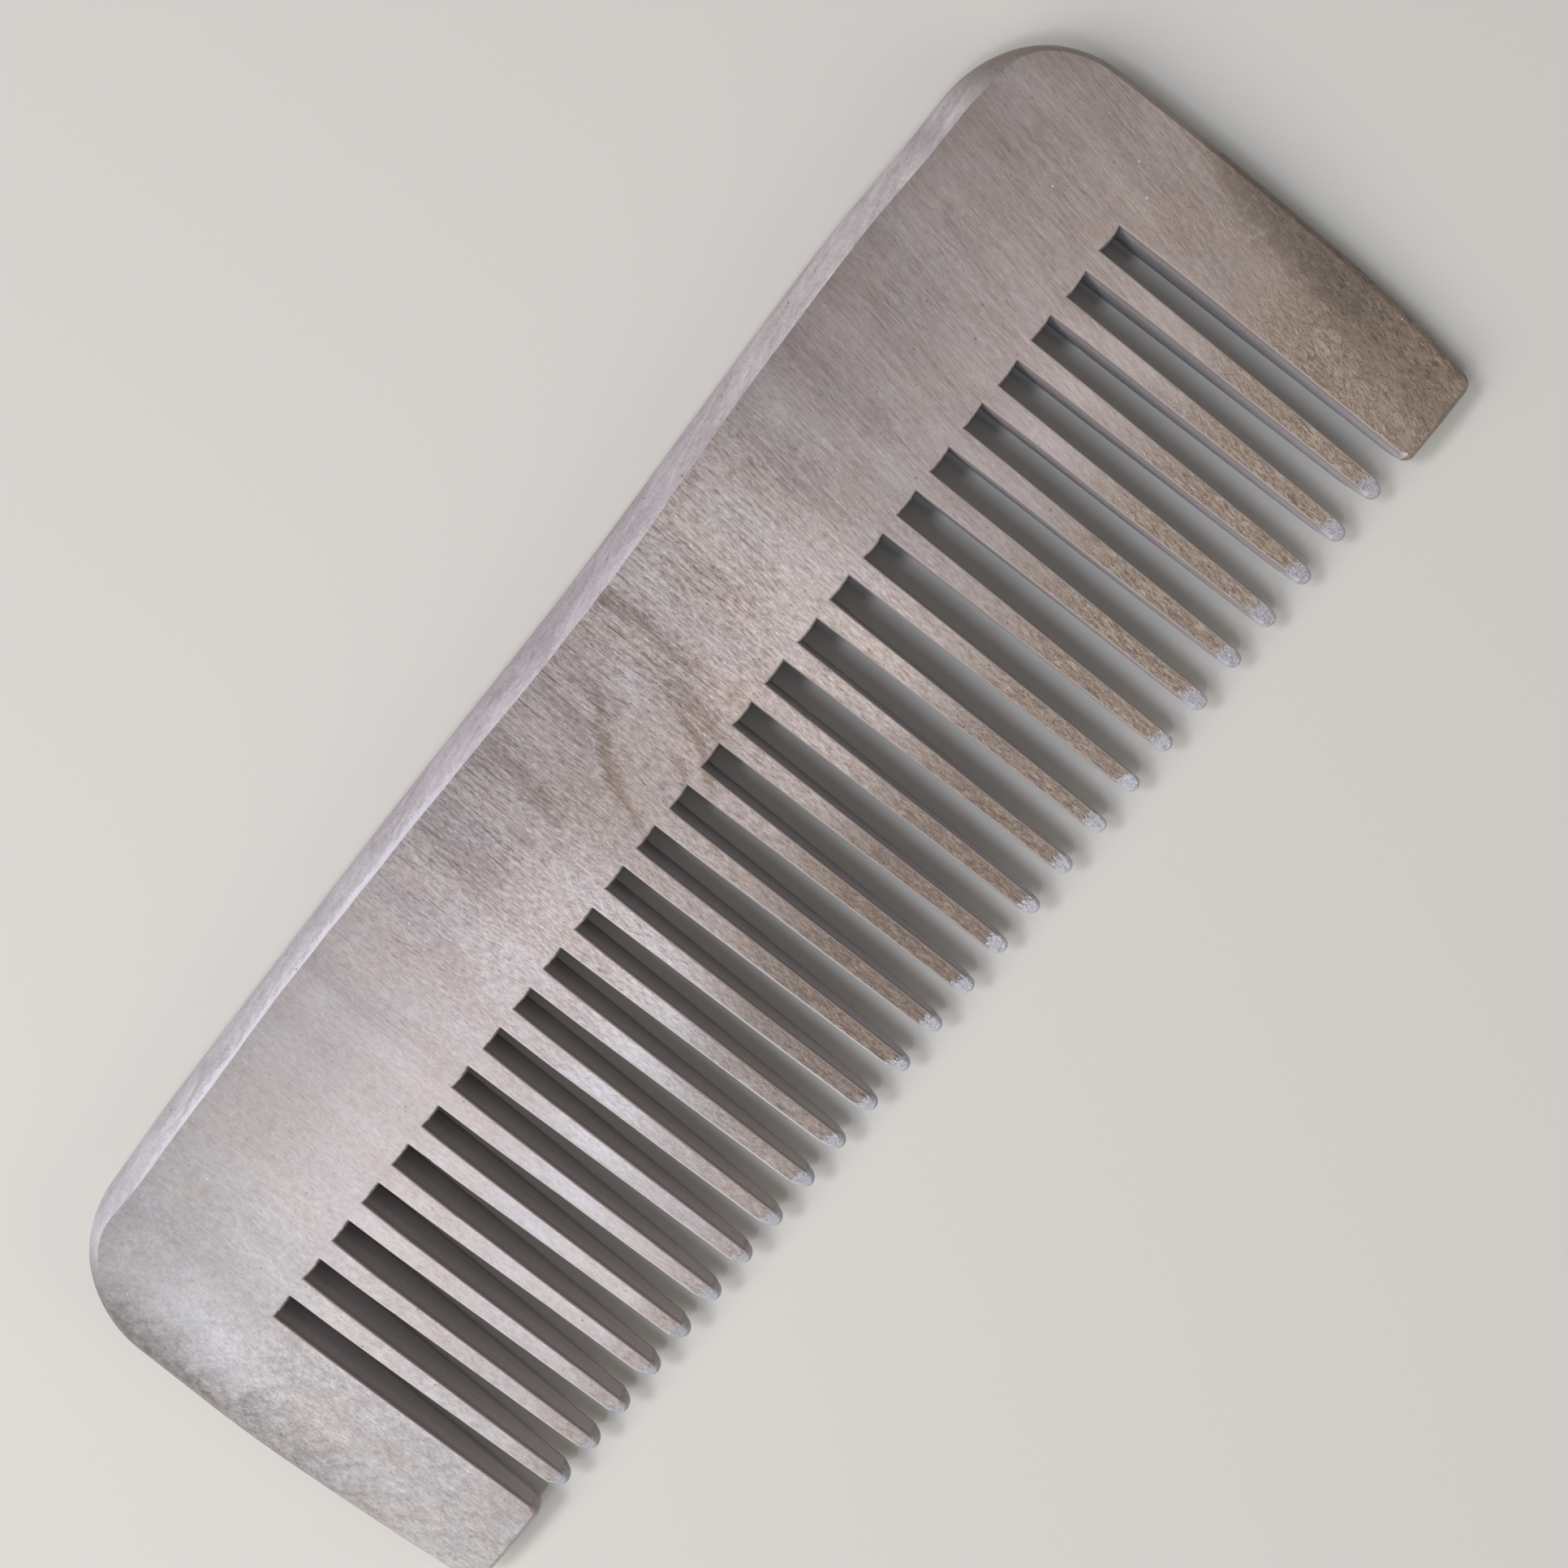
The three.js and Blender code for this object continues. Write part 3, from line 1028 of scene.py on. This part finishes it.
def brown_shaded_right_edge(w, colour):
    """The outer edge of the right guard tooth: brown and rough, partly painted shade where it
    slopes away from the light, with painted shade on the end's side.
    """
    x, y = w.x, w.y
    wear, coarse = w.patterns("wear", "coarse")
    slanted = w.add(x, w.times(y, -0.18))
    slanted = w.add(slanted, w.add(w.times(wear, 2.6), w.times(coarse, 1.4)))
    begins = w.add(y, w.times(x, -0.9), w.times(wear, 3.0))
    edge = w.times(w.step(slanted, 84.0, 88.2), w.step(begins, -71.5, -77.5))
    tone = w.add(w.linear(wear, 0.46, 1.0), w.times(coarse, 0.70))
    # Brown rough wood, darkened partly as painted shade where the edge slopes away from the light
    brown = w.mix(w.step(y, -12, -26), EDGE_BROWN, LOW_EDGE_BROWN)
    colour = w.mix(w.times(edge, 0.85), colour, w.bright(brown, tone))
    # Painted shade on the end's side, which faces away from the light
    shaded_end_side = w.times(w.step(x, 88.6, 89.5), w.step(y, 0, 8))
    return w.bright(colour, w.between(shaded_end_side, 1.0, 0.76)), edge


def specks(w, colour):
    """Tiny pale and dark specks that the polish left in the pores."""
    place = w.spaces["place"]
    distance, chance = w.cells(w.stretch(place, (0.42, 0.36, 0.42), (3, 3, 3)))
    size = w.times(w.step(chance, 0.6, 1.0), 0.052)
    colour = w.mix(w.times(w.math("LESS_THAN", distance, size), 0.5), colour, PALE_SPECK)
    distance, chance = w.cells(w.stretch(place, (0.66, 0.54, 0.66), (11, 5, 7)))
    size = w.times(w.step(chance, 0.45, 1.0), 0.100)
    return w.mix(w.times(w.math("LESS_THAN", distance, size), 0.58), colour, DARK_SPECK)


def face_surface(w):
    """The faces and ends: their colour, where they are dull, their pores and rough relief."""
    x, y = w.x, w.y
    leather, coarse = w.patterns("leather", "coarse")
    wrinkles = w.step(w.math("ABSOLUTE", leather), 0.16, 0.0)
    on_guard = w.most(w.step(x, -73.5, -76.5), w.step(x, 76.0, 78.5))

    colour, pores = plank_colour(w)
    colour = shade_back(w, colour)
    colour, bare_and_shaded = bare_teeth(w, colour, wrinkles, on_guard)

    # The guard teeth are rough too, from a little above their roots
    guards = w.times(on_guard, w.step(y, 16, 0))
    guard_tone = w.add(w.times(coarse, 1.8), w.times(wrinkles, 0.6))
    guard_colour = w.bright(colour, w.linear(guard_tone, -0.09, 1.01))
    colour = w.mix(guards, colour, guard_colour)

    colour, left_edge = mottled_left_edge(w, colour)
    colour, right_edge = brown_shaded_right_edge(w, colour)
    rough_edge = w.most(left_edge, right_edge)

    relief = w.minus(w.add(leather, coarse), w.times(wrinkles, 0.8))
    relief = w.times(relief, w.most(bare_and_shaded, w.times(w.most(rough_edge, guards), 0.40)))
    dull = w.most(w.times(bare_and_shaded, 0.75), rough_edge)
    return specks(w, colour), dull, pores, relief


def arris_colour(w):
    """Worn arrises: brown, but raised pale fibre where they face left on the left teeth, with a
    painted highlight of the light from the left.
    """
    lit_fibre = w.add(w.attribute("leftward"), w.times(w.pattern("torn"), 0.5))
    lit_fibre = w.times(w.step(lit_fibre, 0.35, 1.0), w.step(w.x, 8, -18))
    return w.mix(lit_fibre, ARRIS_BROWN, LIT_RAISED_FIBRE)


def polish(w, relief):
    """Hand polish: a thin waxy gloss over the fibres, with a relief of its own."""
    w.shader.inputs["Coat Weight"].default_value = 0.20
    w.shader.inputs["Coat Roughness"].default_value = 0.15
    w.shader.inputs["Coat IOR"].default_value = 1.45
    w.put(relief, w.shader.inputs["Coat Normal"])


def finish(w, colour, roughness, normal):
    """The finished surface of a material."""
    w.put(colour, w.shader.inputs["Base Color"])
    w.put(roughness, w.shader.inputs["Roughness"])
    w.put(normal, w.shader.inputs["Normal"])
    return w.material


def face_wood(name):
    """The flat faces, the rolled ends, and the faces of the teeth."""
    w = Wood(name)
    lines, flecks, patch, bristle = w.patterns("lines", "flecks", "patch", "bristle")
    colour, dull, pores, relief = face_surface(w)
    colour = w.mix(w.times(w.attribute("arris"), 0.55), colour, arris_colour(w))

    # The tips are sanded down to pale fibre, with a bristly upper edge; their lilac tint is the
    # sky's reflection, painted in
    sanded = w.step(w.add(w.attribute("sanded"), w.times(bristle, 0.9)), -0.15, 0.40)
    pale = w.mix(w.step(w.x, -50, 10), TIP_LEFT, TIP_MIDDLE)
    pale = w.mix(w.step(w.x, 20, 60), pale, TIP_RIGHT)
    pale = w.bright(pale, w.linear(bristle, 0.24, 1.0))
    colour = w.mix(w.times(sanded, 0.92), colour, pale)

    fine = w.minus(w.add(w.times(lines, 0.6), w.times(flecks, 0.5)), pores)
    polish(w, w.bump(fine, 0.002))
    rough = w.between(w.most(dull, sanded), 0.50, 0.72)
    rough = w.add(rough, w.add(w.times(lines, 0.04), w.times(patch, 0.04)))
    normal = w.bump(relief, 0.045, w.bump(fine, 0.012))
    return finish(w, colour, rough, w.bump(w.times(bristle, sanded), 0.045, normal))


def spine_wood(name):
    """The end grain along the spine: pale, close and smooth, with soft clouds along it; its
    paleness and lilac tint, most to the left, are partly painted sheen.
    """
    w = Wood(name)
    x, z = w.x, w.z
    wave, close, dots = w.patterns("wave", "close", "dots")
    middle = w.times(w.step(x, -30, -2), w.step(x, 52, 18))
    outer = w.mix(w.step(x, -10, 40), FACET_LEFT, FACET_RIGHT)
    colour = w.mix(middle, outer, FACET_MIDDLE)
    tone = w.add(w.times(wave, 0.24), w.times(close, 0.12), w.times(dots, 0.20))

    # A painted highlight along the facet's edge next to the face, where it faces the light, more
    # so to the left
    rim = w.step(w.add(z, w.times(close, 0.25)), 6.0, 7.2)
    rim = w.times(rim, w.between(w.step(x, 30, -20), 0.06, 0.14))
    tone = w.stretch(w.add(tone, rim), (0.92, 1.02, 1.06), (1.0, 1.0, 1.0))
    colour = w.tint(tone, colour)
    # A painted glint: a thin bright line on the facet's worn, shiny edge, to the left
    painted_glint = w.step(w.add(z, w.times(w.add(close, dots), 0.12)), 7.04, 7.20)
    painted_glint = w.times(painted_glint, w.step(x, 2, -26), w.step(x, -76, -60))
    colour = w.mix(w.times(painted_glint, 0.60), colour, FACET_GLINT)
    smudge = w.step(w.math("ABSOLUTE", w.add(x, -72.0)), 3.6, 0.0)
    smudge = w.times(smudge, w.step(close, -1.2, 0.8))
    colour = w.mix(w.times(smudge, 0.55), colour, FACET_SMUDGE)
    colour = specks(w, colour)

    # It passes into the face's own surface round the corners
    face, dull, _, relief = face_surface(w)
    at_ends = w.most(w.step(x, -79.5, -86.5), w.step(x, 74.0, 83.0))
    colour = w.mix(at_ends, colour, face)
    rough = w.add(w.between(w.times(dull, at_ends), 0.49, 0.71), w.times(close, 0.03))
    fine = w.bump(w.add(w.times(close, 0.6), dots), 0.010)
    polish(w, fine)
    return finish(w, colour, rough, w.bump(w.times(relief, at_ends), 0.045, fine))


def wall_wood(name):
    """The sawn walls of the slots: darker, burnished, with faint lines along the cut; painted
    light makes them paler towards the tips, and paler and bluer to the right.
    """
    w = Wood(name)
    saw_lines, cuts, dots, bristle = w.patterns("saw_lines", "cuts", "saw_dots", "bristle")
    # Paler and bluer to the right, where the walls face the windows: painted light
    colour = w.mix(w.step(w.x, -30, 20), WALL_LEFT, WALL_RIGHT)
    tone = w.add(1.0, w.times(saw_lines, 0.14), w.times(cuts, 0.04), w.times(dots, 0.10))
    # Painted light: paler towards the tips, where more light reaches the walls
    colour = w.bright(colour, w.add(tone, w.times(w.step(w.y, -6, -29), 0.22)))
    arris = w.step(w.attribute("arris"), 0.35, 1.0)
    colour = w.mix(w.times(arris, 0.75), colour, arris_colour(w))
    # The sanded tips are pale, with the sky's bluish reflection painted in
    sanded = w.step(w.add(w.attribute("sanded"), w.times(bristle, 0.5)), 0.5, 1.0)
    colour = w.mix(w.times(sanded, 0.8), colour, WALL_TIP)
    rough = w.linear(dots, 0.03, 0.52)
    return finish(w, colour, rough, w.bump(w.add(cuts, w.times(dots, 0.5)), 0.010))


FINISHES = {"face": face_wood, "spine": spine_wood, "wall": wall_wood}


# ------------------------ stage


def make_camera():
    """A camera close above the comb, a little to the right of its middle."""
    data = bpy.data.cameras.new("camera")
    data.sensor_width = 36
    data.lens = 44.2
    camera = bpy.data.objects.new("camera", data)
    place = Matrix.Translation((0.0357, 0.0023, 0.2144))
    tip_back = Matrix.Rotation(math.radians(-0.89), 4, "X")
    lean = Matrix.Rotation(math.radians(7.24), 4, "Y")
    roll = Matrix.Rotation(math.radians(-51.58), 4, "Z")
    camera.matrix_world = place @ tip_back @ lean @ roll
    bpy.context.scene.collection.objects.link(camera)
    bpy.context.scene.camera = camera


def area_light(name, place, target, size, turn, power, colour):
    """A rectangle of light facing its target, its first side turned from +X by some degrees."""
    data = bpy.data.lights.new(name, "AREA")
    data.shape = "RECTANGLE"
    data.size, data.size_y = size
    data.energy = power
    data.color = colour
    light = bpy.data.objects.new(name, data)
    away = (Vector(place) - Vector(target)).normalized()
    side = Vector((math.cos(math.radians(turn)), math.sin(math.radians(turn)), 0))
    side = (side - away * side.dot(away)).normalized()
    facing = Matrix((side, away.cross(side), away)).transposed().to_4x4()
    light.matrix_world = Matrix.Translation(place) @ facing
    bpy.context.scene.collection.objects.link(light)


def make_lights():
    """Windows overhead, a broad soft light low to the left, and a dim studio."""
    middle, left_of_middle = (0, 0, 0), (-0.02, 0, 0)
    sky, cool, warm = (0.66, 0.80, 1.0), (0.86, 0.89, 1.0), (1.0, 0.965, 0.93)
    for name, place, target, size, turn, power, colour in (
        ("window", (-0.335, -0.165, 0.95), left_of_middle, (0.15, 0.035), 16, 1.7, sky),
        ("high_window", (-0.30, 0.45, 0.95), left_of_middle, (0.30, 0.20), 0, 4.8, cool),
        ("far_window", (-0.60, 0.06, 0.95), left_of_middle, (0.10, 0.07), 40, 0.7, cool),
        ("near_window", (0.17, -0.070, 0.95), left_of_middle, (0.07, 0.035), 0, 0.30, cool),
        ("soft_left", (-0.80, 0.22, 0.85), middle, (0.9, 0.9), 0, 11.3, warm),
        ("soft_front", (0.35, -0.75, 0.45), middle, (0.5, 0.5), 0, 1.8, (1.0, 0.97, 0.94)),
    ):
        area_light(name, place, target, size, turn, power, colour)
    world = bpy.data.worlds.new("studio")
    world.use_nodes = True
    background = world.node_tree.nodes["Background"]
    background.inputs["Color"].default_value = (0.88, 0.88, 0.9, 1)
    background.inputs["Strength"].default_value = 0.22
    bpy.context.scene.world = world


def make_floor():
    """A plain pale floor under the comb."""
    reach = 1.5
    corners = [(-reach, -reach, 0), (reach, -reach, 0), (reach, reach, 0), (-reach, reach, 0)]
    mesh = bpy.data.meshes.new("floor")
    mesh.from_pydata(corners, [], [(0, 1, 2, 3)])
    floor = bpy.data.objects.new("floor", mesh)
    bpy.context.scene.collection.objects.link(floor)
    material = bpy.data.materials.new("floor")
    material.use_nodes = True
    shader = material.node_tree.nodes["Principled BSDF"]
    shader.inputs["Base Color"].default_value = (0.515, 0.492, 0.445, 1)
    shader.inputs["Roughness"].default_value = 0.7
    mesh.materials.append(material)


# ------------------------ build

make_camera()
make_lights()
make_floor()

mesh = Comb().mesh()
for finish_name, make_wood in FINISHES.items():
    mesh.materials.append(make_wood("wood_" + finish_name))
comb = bpy.data.objects.new("comb", mesh)
bpy.context.scene.collection.objects.link(comb)

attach(comb, "root")
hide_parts("comb_back", "left_guard_tooth", "right_guard_tooth", *TOOTH_NODES)

bpy.context.scene.view_settings.view_transform = "Standard"
